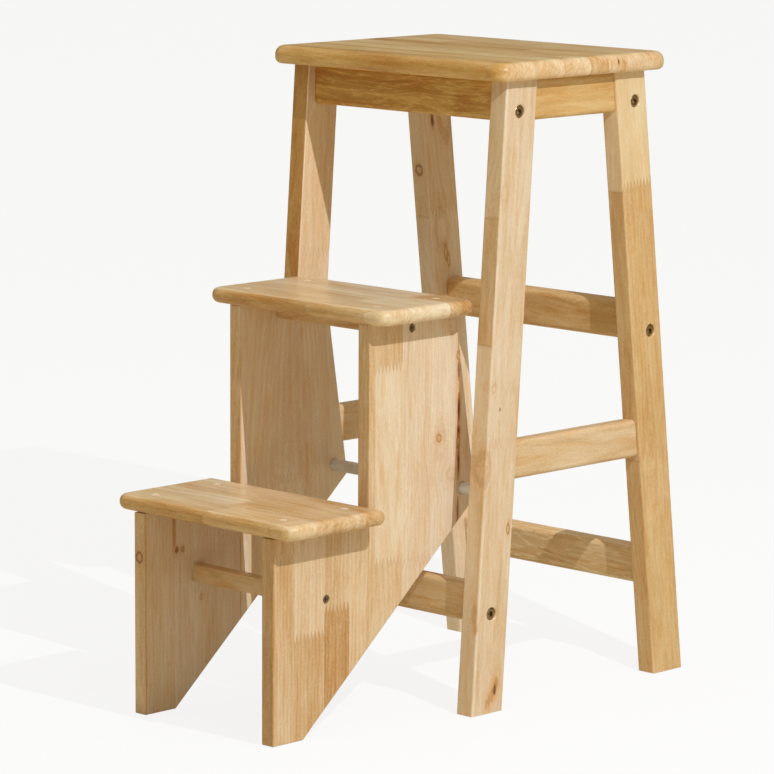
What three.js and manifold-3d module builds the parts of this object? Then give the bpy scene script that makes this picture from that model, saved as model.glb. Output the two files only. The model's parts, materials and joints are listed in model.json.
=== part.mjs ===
// Folding step stool chair in solid wood. A seat on four splayed legs, and a two-step unit that
// turns about a steel rod in the front legs. To fold, the steps swing up, over the rod and back,
// until the nose of the lower tread rests against the rear upper rail, inside the frame.
// Millimetres, +Z up, +X to the right of someone who climbs, who moves along +Y.
// The origin is on the floor, at the centre of the unfolded stool's bounding box.

import * as THREE from 'three';
import { mergeVertices } from 'three/addons/utils/BufferGeometryUtils.js';
import Module from 'manifold-3d';

const wasm = await Module();
wasm.setup();

// Seat board
const overallHeight = 630;
const seatWidth = 318;
const seatDepth = 242;
const seatThickness = 18;
const seatEdgeFlat = 0.8;
const seatCornerRadius = 16;
const seatSideOverhang = 14;
const seatEndOverhang = 22;

// Legs: a splay is how much further out a foot stands than the leg's top
const legThickness = 21;
const legWidth = 43;
const legEdgeRadius = 2;
const frontLegSplay = 41.5;
const rearLegSplay = 71;

// Rails and aprons: the insets go from the outer face of the legs to the face of the rail
const apronHeight = 40;
const railHeight = 38;
const railThickness = 20;
const railEdgeRadius = 5;
const frontRailInset = 10;
const rearRailInset = 5.5;
const sideRailThickness = 18;
const sideRailInset = 3;
const lowerRailLevel = 107;
const sideRailLevel = 244;
const rearUpperRailLevel = 360.5;

// Pivot rod
const rodDiameter = 12;
const rodLevel = 214;
const rodSeatDepth = 10;
const rodEndChamfer = 1;

// Step panels: the outline is set out from the rod
const panelThickness = 15;
const panelEdgeEase = 0.8;
const panelFrontToRod = 129;
const panelHeelPastRod = 18.5;
const panelHeelBelowRod = 10.5;
const panelTopDepth = 118;
const stepRun = 126;
const panelFootDepth = 39.5;

// Treads: the side gap is what is left to the legs when the steps fold in between them
const treadSideGap = 2;
const treadSideOverhang = 26;
const treadDepth = 129;
const treadThickness = 15;
const treadEdgeFlat = 0.8;
const treadCornerRadius = 14;
// The lower tread butts against the panels' risers, so its rear corners are only just rounded
const lowerTreadRearCornerRadius = 8;
const lowerTreadTop = 213;
const upperTreadTop = 402;
const upperTreadOverhang = 7;

// Cross battens between the panels
const battenSize = 17;
const battenEdgeRadius = 1.5;
const upperBattenFromFront = 58;
const lowerBattenFromFront = 70;
const lowerBattenBelowTread = 67;
const lowerBattenTurn = 6;

// Frame bolts and their barrel nuts
const boltDiameter = 6;
const boltHeadDiameter = 12;
const boltHeadHeight = 6;
const boltHeadSunk = 1.2;
const boltHeadEase = 0.8;
const boltSocketWidth = 5;
const boltSocketDepth = 4;
const boltToRailEdge = 10;
const barrelNutDiameter = 10;
const barrelNutLength = 16;
const barrelNutFromEnd = 30;
const boltPastNut = 8;

// Dowels: glued into the rails' ends and the legs' tops, and modelled as one with them
const dowelDiameter = 8;
const dowelInLeg = 12;
const dowelInSeat = 10;
const dowelToRailEdge = 10;

// Wood screws and the plugs over the tread screws
const screwDiameter = 4;
const screwHeadDiameter = 8;
const screwHeadHeight = 3;
const screwTipLength = 5;
const screwSlotWidth = 1;
const screwSlotDepth = 1.4;
const seatScrewBore = 20;
const seatScrewBite = 12;
const treadScrewLength = 40;
const battenScrewLength = 38;
const battenScrewSunk = 1.5;
const plugDiameter = 8;
const plugLength = 5;
const plugEdgeInset = 24;

// Clearances: between glued or bolted faces, round a pin in its hole, and past a cut's end
const jointGap = 0.3;
const holeGap = 0.3;
const overrun = 4;

// Facets: a round pin or hole has sides of about this length, and no fewer than the least
const facetLength = 2.6;
const fewestSides = 8;
const hexSides = 6;
const cornerArcSteps = 4;
const edgeArcSteps = 3;
const barArcSteps = 3;

const seatUnderside = overallHeight - seatThickness;
const legOuterX = seatWidth / 2 - seatSideOverhang;
const legInnerX = legOuterX - legThickness;
const treadWidth = 2 * (legInnerX - treadSideGap);
const panelOuterX = treadWidth / 2 - treadSideOverhang;
const panelInnerX = panelOuterX - panelThickness;
const panelMiddleX = panelOuterX - panelThickness / 2;
const apronLevel = seatUnderside - jointGap - apronHeight / 2;

const bothSides = [-1, 1];
const along = {
  x: new THREE.Vector3(1, 0, 0),
  y: new THREE.Vector3(0, 1, 0),
  z: new THREE.Vector3(0, 0, 1),
};

// Both leg pairs, with the side of the seat that they stand on along Y. A reach goes from the
// seat's middle to a leg's outer face.
const legTopReach = seatDepth / 2 - seatEndOverhang;
const frontLegs = { side: -1, footReach: legTopReach + frontLegSplay, railInset: frontRailInset };
const rearLegs = { side: 1, footReach: legTopReach + rearLegSplay, railInset: rearRailInset };

const lean = (pair) => Math.atan2(pair.footReach - legTopReach, seatUnderside);

// The place along Y, at a level, of a plane parallel to a leg's outer face and that far inside it
function insideFace(pair, level, distance) {
  const reach = pair.footReach + (legTopReach - pair.footReach) * (level / seatUnderside);
  return pair.side * (reach - distance / Math.cos(lean(pair)));
}

const rodY = insideFace(frontLegs, rodLevel, legWidth / 2);

// The rails between the legs of a pair: the aprons are upright, and the others lean with the legs
function rail(pair, level, { apron = false, bolted = true } = {}) {
  const y = insideFace(pair, level, pair.railInset + railThickness / 2);
  const angle = apron ? 0 : pair.side * lean(pair);
  const height = apron ? apronHeight : railHeight;
  return { pair, apron, bolted, angle, height, centre: new THREE.Vector3(0, y, level) };
}

const crossRails = {
  apron_front: rail(frontLegs, apronLevel, { apron: true }),
  apron_rear: rail(rearLegs, apronLevel, { apron: true }),
  front_lower_rail: rail(frontLegs, lowerRailLevel),
  rear_upper_rail: rail(rearLegs, rearUpperRailLevel),
  rear_lower_rail: rail(rearLegs, lowerRailLevel, { bolted: false }),
};
const sideRails = {
  apron: { level: apronLevel, height: apronHeight },
  side_rail: { level: sideRailLevel, height: railHeight },
};

// Bolts enter a rail near its lower edge and dowels near its upper edge, and a rail without bolts
// has dowels near both
const boltOffset = (row) => boltToRailEdge - row.height / 2;
const dowelOffset = (row) => row.height / 2 - dowelToRailEdge;
const dowelPair = (row) => [dowelOffset(row), -dowelOffset(row)];
const dowelOffsets = (row) => (row.bolted ? [dowelOffset(row)] : dowelPair(row));

function railPoint(row, offset) {
  const across = new THREE.Vector3(0, 0, offset).applyAxisAngle(along.x, row.angle);
  return across.add(row.centre);
}

// Solids, joins and cuts

function solid(geometry) {
  const bare = geometry.clone();
  for (const name of Object.keys(bare.attributes)) {
    if (name !== 'position') bare.deleteAttribute(name);
  }
  const merged = mergeVertices(bare);
  return new wasm.Manifold(new wasm.Mesh({
    numProp: 3,
    vertProperties: new Float32Array(merged.attributes.position.array),
    triVerts: new Uint32Array(merged.index.array),
  }));
}

function geometryOf(manifold) {
  const mesh = manifold.getMesh();
  const geometry = new THREE.BufferGeometry();
  geometry.setAttribute('position', new THREE.BufferAttribute(mesh.vertProperties, mesh.numProp));
  geometry.setIndex(new THREE.BufferAttribute(mesh.triVerts, 1));
  const flat = geometry.toNonIndexed();
  flat.computeVertexNormals();
  return flat;
}

function cut(geometry, tools, joined = []) {
  let result = solid(geometry);
  for (const part of joined) result = result.add(solid(part));
  for (const tool of tools) result = result.subtract(solid(tool));
  return geometryOf(result);
}

const sidesOf = (diameter) => Math.max(fewestSides, 2 * Math.round(Math.PI * diameter / facetLength / 2));

// A cylinder from one point to another
function pin(from, to, diameter) {
  const axis = to.clone().sub(from);
  const radius = diameter / 2;
  const geometry = new THREE.CylinderGeometry(radius, radius, axis.length(), sidesOf(diameter));
  geometry.applyQuaternion(new THREE.Quaternion().setFromUnitVectors(along.y, axis.clone().normalize()));
  return geometry.translate(...from.clone().lerp(to, 1 / 2).toArray());
}

// The hole for a pin of that diameter, with its clearance all round
const hole = (from, to, diameter) => pin(from, to, diameter + 2 * holeGap);

// A rectangle with rounded corners; the pair at its far side, towards +Y, may have its own radius
function roundedRectangle(width, height, radius, farRadius = radius) {
  const x = width / 2 - radius;
  const y = height / 2 - radius;
  const farX = width / 2 - farRadius;
  const farY = height / 2 - farRadius;
  const shape = new THREE.Shape();
  shape.absarc(farX, farY, farRadius, 0, Math.PI / 2);
  shape.absarc(-farX, farY, farRadius, Math.PI / 2, Math.PI);
  shape.absarc(-x, -y, radius, Math.PI, 3 * Math.PI / 2);
  shape.absarc(x, -y, radius, 3 * Math.PI / 2, 2 * Math.PI);
  return shape;
}

// A planed bar with eased long edges, centred, its length along Z
function bar(width, height, length, radius) {
  const geometry = new THREE.ExtrudeGeometry(roundedRectangle(width, height, radius), {
    depth: length, bevelEnabled: false, curveSegments: barArcSteps,
  });
  return geometry.translate(0, 0, -length / 2);
}

// A board with rounded corners and round edges, centred, its thickness along Z
function board(width, depth, thickness, cornerRadius, edgeFlat, rearCornerRadius = cornerRadius) {
  const edgeRadius = (thickness - edgeFlat) / 2;
  const corner = Math.max(cornerRadius - edgeRadius, edgeFlat);
  const rearCorner = Math.max(rearCornerRadius - edgeRadius, edgeFlat);
  const outline = roundedRectangle(width - 2 * edgeRadius, depth - 2 * edgeRadius, corner, rearCorner);
  const geometry = new THREE.ExtrudeGeometry(outline, {
    depth: edgeFlat,
    bevelThickness: edgeRadius,
    bevelSize: edgeRadius,
    bevelSegments: edgeArcSteps,
    curveSegments: cornerArcSteps,
  });
  return geometry.translate(0, 0, -edgeFlat / 2);
}

// A countersunk wood screw from its head's face to its tip, along a direction
function screw(head, direction, length) {
  const radius = screwDiameter / 2;
  const profile = [
    [0, -length], [radius, screwTipLength - length], [radius, -screwHeadHeight],
    [screwHeadDiameter / 2, -screwSlotWidth], [screwHeadDiameter / 2, 0], [0, 0],
  ].map(([x, y]) => new THREE.Vector2(x, y));
  const blade = [screwHeadDiameter / 2, 2 * screwSlotDepth, screwSlotWidth];
  const recess = [0, Math.PI / 2].map((angle) => new THREE.BoxGeometry(...blade).rotateY(angle));
  const turn = new THREE.Quaternion().setFromUnitVectors(along.y, direction.clone().negate());
  return cut(new THREE.LatheGeometry(profile, sidesOf(screwHeadDiameter)), recess)
    .applyQuaternion(turn)
    .translate(...head.toArray());
}

// A connector bolt with a hexagon socket, from the top of its head to its tip
function bolt(head, direction, length) {
  const radius = boltHeadDiameter / 2;
  const profile = [
    [0, -length], [boltDiameter / 2, -length], [boltDiameter / 2, -boltHeadHeight],
    [radius, -boltHeadHeight], [radius, -boltHeadEase], [radius - boltHeadEase, 0], [0, 0],
  ].map(([x, y]) => new THREE.Vector2(x, y));
  const socketRadius = boltSocketWidth / 2 / Math.cos(Math.PI / hexSides);
  const socket = new THREE.CylinderGeometry(socketRadius, socketRadius, 2 * boltSocketDepth, hexSides);
  const turn = new THREE.Quaternion().setFromUnitVectors(along.y, direction.clone().negate());
  return cut(new THREE.LatheGeometry(profile, sidesOf(boltHeadDiameter)), [socket])
    .applyQuaternion(turn)
    .translate(...head.toArray());
}

// Where each bolt, nut and dowel of the frame sits

function boltEnds(row, side) {
  const at = railPoint(row, boltOffset(row));
  const head = at.clone().setX(side * (legOuterX - boltHeadSunk));
  const nut = at.clone().setX(side * (legInnerX - jointGap - barrelNutFromEnd));
  const tip = nut.clone().setX(nut.x - side * boltPastNut);
  return { head, nut, tip, length: Math.abs(head.x - tip.x) };
}

// A dowel's end in the leg, and a point inside the rail's end that it stands in
function crossDowelEnds(row, offset, side) {
  const at = railPoint(row, offset);
  const inLeg = at.clone().setX(side * (legInnerX + dowelInLeg));
  const inRail = at.clone().setX(side * (legInnerX - dowelDiameter));
  return { inLeg, inRail };
}

// A side rail's dowels run level, along Y, from the inner face of a leg into the rail's end
function sideDowelEnds(pair, level, offset, side) {
  const z = level + offset;
  const face = insideFace(pair, z, legWidth);
  const x = side * (legOuterX - sideRailInset - sideRailThickness / 2);
  const inLeg = new THREE.Vector3(x, face + pair.side * dowelInLeg, z);
  const inRail = new THREE.Vector3(x, face - pair.side * dowelDiameter, z);
  return { inLeg, inRail };
}

// The dowel on a leg's top, which stands in the seat
function seatDowelEnds(pair, side) {
  const x = side * (legOuterX - legThickness / 2);
  const y = insideFace(pair, seatUnderside, legWidth / 2);
  const inSeat = new THREE.Vector3(x, y, seatUnderside + dowelInSeat);
  return { inSeat, inLeg: inSeat.clone().setZ(seatUnderside - dowelDiameter) };
}

// A hole that goes a clearance deeper than its pin, at the end named first
function blindHole(end, start, diameter) {
  const past = end.clone().sub(start).setLength(holeGap).add(end);
  return hole(past, start, diameter);
}

const dowel = (from, to) => pin(from, to, dowelDiameter);

const crossRailsOf = (pair) => Object.values(crossRails).filter((row) => row.pair === pair);

function legTools(pair, side) {
  const tools = [];
  for (const row of crossRailsOf(pair)) {
    for (const offset of dowelOffsets(row)) {
      const { inLeg, inRail } = crossDowelEnds(row, offset, side);
      tools.push(blindHole(inLeg, inRail, dowelDiameter));
    }
    if (!row.bolted) continue;
    const { head, tip } = boltEnds(row, side);
    const outside = head.clone().setX(side * (legOuterX + overrun));
    const underHead = head.clone().setX(head.x - side * (boltHeadHeight + holeGap));
    tools.push(hole(outside, tip, boltDiameter));
    tools.push(hole(outside, underHead, boltHeadDiameter));
  }
  for (const row of Object.values(sideRails)) {
    for (const offset of dowelPair(row)) {
      const { inLeg, inRail } = sideDowelEnds(pair, row.level, offset, side);
      tools.push(blindHole(inLeg, inRail, dowelDiameter));
    }
  }
  if (pair === frontLegs) {
    const end = new THREE.Vector3(side * (legInnerX + rodSeatDepth), rodY, rodLevel);
    tools.push(hole(end, end.clone().setX(0), rodDiameter));
  }
  return tools;
}

function leg(pair, side) {
  const length = seatUnderside / Math.cos(lean(pair)) + 2 * legWidth;
  const middle = seatUnderside / 2;
  const centre = [side * (legOuterX - legThickness / 2), insideFace(pair, middle, legWidth / 2), middle];
  const timber = bar(legThickness, legWidth, length, legEdgeRadius)
    .rotateX(pair.side * lean(pair))
    .translate(...centre);
  const room = new THREE.BoxGeometry(seatWidth, 2 * pair.footReach, seatUnderside - jointGap);
  room.translate(0, centre[1], (seatUnderside - jointGap) / 2);
  const trimmed = geometryOf(solid(timber).intersect(solid(room)));
  const { inSeat, inLeg } = seatDowelEnds(pair, side);
  return cut(trimmed, legTools(pair, side), [dowel(inLeg, inSeat)]);
}

// A rail between the legs of a pair, in its own frame: centred, its length along X
function crossRail(row) {
  const length = 2 * (legInnerX - jointGap);
  const timber = bar(row.height, railThickness, length, railEdgeRadius).rotateY(Math.PI / 2);
  const own = (point) => point.clone().sub(row.centre).applyAxisAngle(along.x, -row.angle);
  const dowels = [];
  const tools = [];
  for (const side of bothSides) {
    for (const offset of dowelOffsets(row)) {
      const { inLeg, inRail } = crossDowelEnds(row, offset, side);
      dowels.push(dowel(own(inRail), own(inLeg)));
    }
    if (!row.bolted) continue;
    const { head, nut, tip } = boltEnds(row, side);
    tools.push(blindHole(own(tip), own(head), boltDiameter));
    const back = own(nut).setY(railThickness / 2 + overrun);
    tools.push(hole(back, own(nut).setY(-barrelNutLength / 2 - holeGap), barrelNutDiameter));
  }
  if (row.apron) {
    const top = new THREE.Vector3(0, 0, apronHeight / 2 + overrun);
    const bore = new THREE.Vector3(0, 0, seatScrewBore - apronHeight / 2);
    const below = new THREE.Vector3(0, 0, -apronHeight / 2 - overrun);
    tools.push(hole(bore, top, screwDiameter));
    tools.push(hole(below, bore, screwHeadDiameter));
  }
  return cut(timber, tools, dowels);
}

// A rail between a front and a rear leg: sawn with its own height to spare at each end, and then
// trimmed to the legs' leaning faces
function sideRail({ level, height }, side) {
  const x = side * (legOuterX - sideRailInset - sideRailThickness / 2);
  const faceOf = (pair) => insideFace(pair, level, legWidth + jointGap);
  const length = faceOf(rearLegs) - faceOf(frontLegs) + 2 * height;
  const timber = bar(sideRailThickness, height, length, railEdgeRadius)
    .rotateX(Math.PI / 2)
    .translate(x, (faceOf(rearLegs) + faceOf(frontLegs)) / 2, level);
  const dowels = [];
  const blocks = [];
  for (const pair of [frontLegs, rearLegs]) {
    const block = new THREE.BoxGeometry(seatWidth, 4 * height, 4 * height);
    block.translate(0, pair.side * 2 * height, 0);
    block.rotateX(pair.side * lean(pair));
    blocks.push(block.translate(0, faceOf(pair), level));
    for (const offset of dowelPair({ height })) {
      const { inLeg, inRail } = sideDowelEnds(pair, level, offset, side);
      dowels.push(dowel(inRail, inLeg));
    }
  }
  return cut(cut(timber, blocks), [], dowels);
}

function barrelNut(row, side) {
  const { head, nut, tip } = boltEnds(row, side);
  const half = new THREE.Vector3(0, barrelNutLength / 2, 0).applyAxisAngle(along.x, row.angle);
  const body = pin(nut.clone().sub(half), nut.clone().add(half), barrelNutDiameter);
  return cut(body, [hole(head, tip.clone().setX(tip.x - side * overrun), boltDiameter)]);
}

function frameBolt(row, side) {
  const { head, length } = boltEnds(row, side);
  return bolt(head, along.x.clone().multiplyScalar(-side), length);
}

// Seat board and the screws that hold it from below, through the aprons

const seatScrewLevel = apronLevel - apronHeight / 2 + seatScrewBore - holeGap - screwHeadHeight;
const seatScrewLength = seatUnderside + seatScrewBite - seatScrewLevel;
const seatScrewHead = (row) => row.centre.clone().setZ(seatScrewLevel);
const seatScrew = (row) => screw(seatScrewHead(row), along.z, seatScrewLength);

function seatBoard() {
  const middle = overallHeight - seatThickness / 2;
  const body = board(seatWidth, seatDepth, seatThickness, seatCornerRadius, seatEdgeFlat);
  const tools = Object.values(crossRails).filter((row) => row.apron).map((row) => {
    const tip = row.centre.clone().setZ(seatUnderside + seatScrewBite - middle);
    return blindHole(tip, tip.clone().setZ(-seatThickness), screwDiameter);
  });
  for (const pair of [frontLegs, rearLegs]) {
    for (const side of bothSides) {
      const tip = seatDowelEnds(pair, side).inSeat;
      tip.z -= middle;
      tools.push(blindHole(tip, tip.clone().setZ(-seatThickness), dowelDiameter));
    }
  }
  return cut(body, tools);
}

// Pivot rod, between blind holes in the front legs
function pivotRod() {
  const half = legInnerX + rodSeatDepth - holeGap;
  const radius = rodDiameter / 2;
  const profile = [
    [0, -half], [radius - rodEndChamfer, -half], [radius, rodEndChamfer - half],
    [radius, half - rodEndChamfer], [radius - rodEndChamfer, half], [0, half],
  ].map(([x, y]) => new THREE.Vector2(x, y));
  return new THREE.LatheGeometry(profile, sidesOf(rodDiameter)).rotateZ(-Math.PI / 2);
}

// The step unit, with its origin on the rod's axis

const floor = -rodLevel;
const lowerTreadUnderside = lowerTreadTop - treadThickness - rodLevel;
const upperTreadUnderside = upperTreadTop - treadThickness - rodLevel;
const lowerPanelFront = -panelFrontToRod - stepRun;
const upperTreadFront = -panelFrontToRod - upperTreadOverhang;
const lowerTreadFront = -panelFrontToRod - jointGap - treadDepth;

// The middle of each batten, along Y and Z. The lower one, between its two screws, leans back by
// a few degrees.
const battens = {
  lower: {
    y: lowerPanelFront + lowerBattenFromFront,
    z: lowerTreadUnderside - lowerBattenBelowTread,
    tilt: -THREE.MathUtils.degToRad(lowerBattenTurn),
  },
  upper: {
    y: -panelFrontToRod + upperBattenFromFront,
    z: upperTreadUnderside - jointGap - battenSize / 2,
    tilt: 0,
  },
};

function panelOutline() {
  const shape = new THREE.Shape();
  shape.moveTo(lowerPanelFront, floor);
  shape.lineTo(lowerPanelFront + panelFootDepth, floor);
  shape.lineTo(panelHeelPastRod, -panelHeelBelowRod);
  shape.lineTo(-panelFrontToRod + panelTopDepth, upperTreadUnderside - jointGap);
  shape.lineTo(-panelFrontToRod, upperTreadUnderside - jointGap);
  shape.lineTo(-panelFrontToRod, lowerTreadUnderside - jointGap);
  shape.lineTo(lowerPanelFront, lowerTreadUnderside - jointGap);
  shape.closePath();
  return shape;
}

// Tread screws stand over the middle of the panels
const treads = {
  lower: { front: lowerTreadFront, underside: lowerTreadUnderside, rearCorner: lowerTreadRearCornerRadius },
  upper: { front: upperTreadFront, underside: upperTreadUnderside, rearCorner: treadCornerRadius },
};

function plugPlaces(tread) {
  const top = tread.underside + treadThickness;
  const rows = [tread.front + plugEdgeInset, tread.front + treadDepth - plugEdgeInset];
  return rows.flatMap((y) => bothSides.map((side) => new THREE.Vector3(side * panelMiddleX, y, top)));
}

const screwHeadUnder = (place) => place.clone().setZ(place.z - plugLength - jointGap);
const screwTipUnder = (place) => place.clone().setZ(place.z - plugLength - jointGap - treadScrewLength);

// A batten is held by one screw at each end, through the panel
function battenScrewEnds(place, side) {
  const head = new THREE.Vector3(side * (panelOuterX - battenScrewSunk), place.y, place.z);
  return { head, tip: head.clone().setX(head.x - side * battenScrewLength) };
}

function panel(side) {
  const thickness = panelThickness - 2 * panelEdgeEase;
  const body = new THREE.ExtrudeGeometry(panelOutline(), {
    depth: thickness,
    bevelThickness: panelEdgeEase,
    bevelSize: panelEdgeEase,
    bevelOffset: -panelEdgeEase,
    bevelSegments: 1,
  });
  body.translate(0, 0, -thickness / 2);
  body.rotateZ(Math.PI / 2).rotateY(Math.PI / 2).translate(side * panelMiddleX, 0, 0);
  const across = panelOuterX + overrun;
  const tools = [hole(new THREE.Vector3(-across, 0, 0), new THREE.Vector3(across, 0, 0), rodDiameter)];
  for (const place of Object.values(battens)) {
    const { head, tip } = battenScrewEnds(place, side);
    const outside = head.clone().setX(side * across);
    const underHead = head.clone().setX(head.x - side * (screwHeadHeight + holeGap));
    tools.push(hole(outside, tip, screwDiameter));
    tools.push(hole(outside, underHead, screwHeadDiameter));
  }
  for (const tread of Object.values(treads)) {
    for (const place of plugPlaces(tread)) {
      if (place.x * side > 0) tools.push(blindHole(screwTipUnder(place), place, screwDiameter));
    }
  }
  return cut(body, tools);
}

// A tread in its own frame, centred
function tread(row) {
  const corner = treadCornerRadius;
  const body = board(treadWidth, treadDepth, treadThickness, corner, treadEdgeFlat, row.rearCorner);
  const centre = treadCentre(row);
  const tools = plugPlaces(row).flatMap((place) => {
    const above = place.clone().setZ(place.z + overrun).sub(centre);
    const through = place.clone().setZ(row.underside - overrun).sub(centre);
    const underHead = screwHeadUnder(place).sub(centre);
    underHead.z -= screwHeadHeight + holeGap;
    return [hole(above, through, screwDiameter), hole(above, underHead, screwHeadDiameter)];
  });
  return cut(body, tools);
}

function treadCentre(row) {
  return new THREE.Vector3(0, row.front + treadDepth / 2, row.underside + treadThickness / 2);
}

const treadScrew = (place) => (
  screw(screwHeadUnder(place), along.z.clone().negate(), treadScrewLength)
);
const treadPlug = (place) => pin(place, place.clone().setZ(place.z - plugLength), plugDiameter);

function batten(place) {
  const length = 2 * (panelInnerX - jointGap);
  const timber = bar(battenSize, battenSize, length, battenEdgeRadius).rotateY(Math.PI / 2);
  const own = (point) => point.sub(new THREE.Vector3(0, place.y, place.z));
  return cut(timber, bothSides.map((side) => {
    const { head, tip } = battenScrewEnds(place, side);
    return blindHole(own(tip), own(head), screwDiameter);
  }));
}

function battenScrew(place, side) {
  const { head } = battenScrewEnds(place, side);
  return screw(head, along.x.clone().multiplyScalar(-side), battenScrewLength);
}

// Finishes, as a plain colour for each kind of piece

const finish = (color, roughness, metalness) => (
  new THREE.MeshStandardMaterial({ color, roughness, metalness })
);
const boardWood = finish(0xd9b27c, 0.4, 0);
const legWood = finish(0xdcb98a, 0.42, 0);
const railWood = finish(0xcfa66d, 0.42, 0);
const panelWood = finish(0xe0b98c, 0.45, 0);
const plugWood = finish(0xe9cfa0, 0.5, 0);
const rodSteel = finish(0xb4b0a8, 0.35, 1);
const boltBrass = finish(0x6b5634, 0.4, 1);
const screwSteel = finish(0x8c8a84, 0.35, 1);

function piece(name, geometry, material, position = [0, 0, 0], tilt = 0) {
  const mesh = new THREE.Mesh(geometry, material);
  mesh.name = name;
  mesh.position.set(...position);
  mesh.rotation.x = tilt;
  return mesh;
}

const handOf = (side) => (side < 0 ? 'left' : 'right');

function stoolFrame() {
  const group = new THREE.Group();
  const seatMiddle = [0, 0, overallHeight - seatThickness / 2];
  group.add(piece('seat_board', seatBoard(), boardWood, seatMiddle));
  for (const side of bothSides) {
    const hand = handOf(side);
    group.add(piece(`leg_front_${hand}`, leg(frontLegs, side), legWood));
    group.add(piece(`leg_rear_${hand}`, leg(rearLegs, side), legWood));
    for (const [name, row] of Object.entries(sideRails)) {
      group.add(piece(`${name}_${hand}`, sideRail(row, side), railWood));
    }
  }
  for (const [name, row] of Object.entries(crossRails)) {
    group.add(piece(name, crossRail(row), railWood, row.centre.toArray(), row.angle));
    if (row.apron) group.add(piece(`seat_screw_${name}`, seatScrew(row), screwSteel));
    if (!row.bolted) continue;
    for (const side of bothSides) {
      const hand = handOf(side);
      group.add(piece(`bolt_${name}_${hand}`, frameBolt(row, side), boltBrass));
      group.add(piece(`barrel_nut_${name}_${hand}`, barrelNut(row, side), screwSteel));
    }
  }
  group.add(piece('pivot_rod', pivotRod(), rodSteel, [0, rodY, rodLevel]));
  return group;
}

function stepUnit() {
  const group = new THREE.Group();
  for (const side of bothSides) {
    const hand = handOf(side);
    group.add(piece(`step_panel_${hand}`, panel(side), panelWood));
    for (const [name, place] of Object.entries(battens)) {
      group.add(piece(`batten_screw_${name}_${hand}`, battenScrew(place, side), screwSteel));
    }
  }
  for (const [name, row] of Object.entries(treads)) {
    group.add(piece(`${name}_tread`, tread(row), boardWood, treadCentre(row).toArray()));
    plugPlaces(row).forEach((place, index) => {
      group.add(piece(`${name}_tread_screw_${index + 1}`, treadScrew(place), screwSteel));
      group.add(piece(`${name}_tread_plug_${index + 1}`, treadPlug(place), plugWood));
    });
  }
  for (const [name, place] of Object.entries(battens)) {
    const middle = [0, place.y, place.z];
    group.add(piece(`${name}_cross_batten`, batten(place), railWood, middle, place.tilt));
  }
  group.position.set(0, rodY, rodLevel);
  return group;
}

// The box runs from the lower tread's nose to the rear feet
const boxFront = rodY + lowerTreadFront;
const boxRear = rearLegs.footReach;

const stool = new THREE.Group();
stool.add(stoolFrame(), stepUnit());
stool.position.set(0, -(boxFront + boxRear) / 2, 0);

export default stool;
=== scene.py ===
# A folding step stool in clear-lacquered rubberwood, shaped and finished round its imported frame.
# Lengths are metres in the frame's own axes; the wood's figure is set out in millimetres.

import json
import math

import bmesh
import bpy
from mathutils import Matrix, Vector

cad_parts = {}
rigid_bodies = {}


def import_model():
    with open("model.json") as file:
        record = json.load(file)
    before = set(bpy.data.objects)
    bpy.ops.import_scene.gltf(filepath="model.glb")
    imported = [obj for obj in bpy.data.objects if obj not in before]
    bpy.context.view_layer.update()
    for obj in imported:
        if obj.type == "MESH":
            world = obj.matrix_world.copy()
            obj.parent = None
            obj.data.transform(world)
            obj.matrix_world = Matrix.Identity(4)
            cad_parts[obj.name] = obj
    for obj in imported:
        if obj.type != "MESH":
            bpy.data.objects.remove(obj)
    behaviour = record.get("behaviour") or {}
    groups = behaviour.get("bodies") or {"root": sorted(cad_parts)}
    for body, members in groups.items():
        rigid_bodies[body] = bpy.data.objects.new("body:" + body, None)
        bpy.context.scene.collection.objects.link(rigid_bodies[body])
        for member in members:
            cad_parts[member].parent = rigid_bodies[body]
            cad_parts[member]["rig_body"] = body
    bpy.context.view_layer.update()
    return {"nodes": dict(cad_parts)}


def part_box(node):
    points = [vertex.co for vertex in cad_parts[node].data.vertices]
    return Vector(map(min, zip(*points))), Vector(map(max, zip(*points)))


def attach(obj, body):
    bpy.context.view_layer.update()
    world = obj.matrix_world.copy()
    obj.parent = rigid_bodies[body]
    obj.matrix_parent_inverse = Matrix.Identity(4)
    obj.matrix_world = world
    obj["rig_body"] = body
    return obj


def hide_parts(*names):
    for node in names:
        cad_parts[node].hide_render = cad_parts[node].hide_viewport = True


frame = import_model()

bl_info = {
    "name": "Step stool",
    "version": (1, 0, 0),
    "blender": (4, 5, 0),
    "location": "3D View > Sidebar > Step stool",
    "description": "Shapes and finishes the boards, bars and fittings of a folding step stool",
    "category": "Object",
}

MM = 0.001
NEAR = MM / 10
X, Y, Z = Vector((1, 0, 0)), Vector((0, 1, 0)), Vector((0, 0, 1))
HANDS = ("left", "right")
SOFT_ANGLE = math.radians(32)
BOLT_HEAD_HEIGHT, SCREW_HEAD_HEIGHT = 6 * MM, 3 * MM

# Steps of a full turn, and of the rounding of each kind of edge
TURN_STEPS, PIN_STEPS = 48, 32
CORNER_STEPS, RIM_STEPS, PANEL_STEPS, END_STEPS = 12, 8, 3, 2
LEG_STEPS, RAIL_STEPS, BATTEN_STEPS = 5, 6, 4


# Sizes and colours


def length(name, description, millimetres):
    return bpy.props.FloatProperty(
        name=name, description=description, default=millimetres * MM, min=0,
        unit="LENGTH", subtype="DISTANCE",
    )


def colour(name, description, default):
    return bpy.props.FloatVectorProperty(
        name=name, description=description, default=(*default, 1), size=4, min=0, max=1,
        subtype="COLOR",
    )


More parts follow.
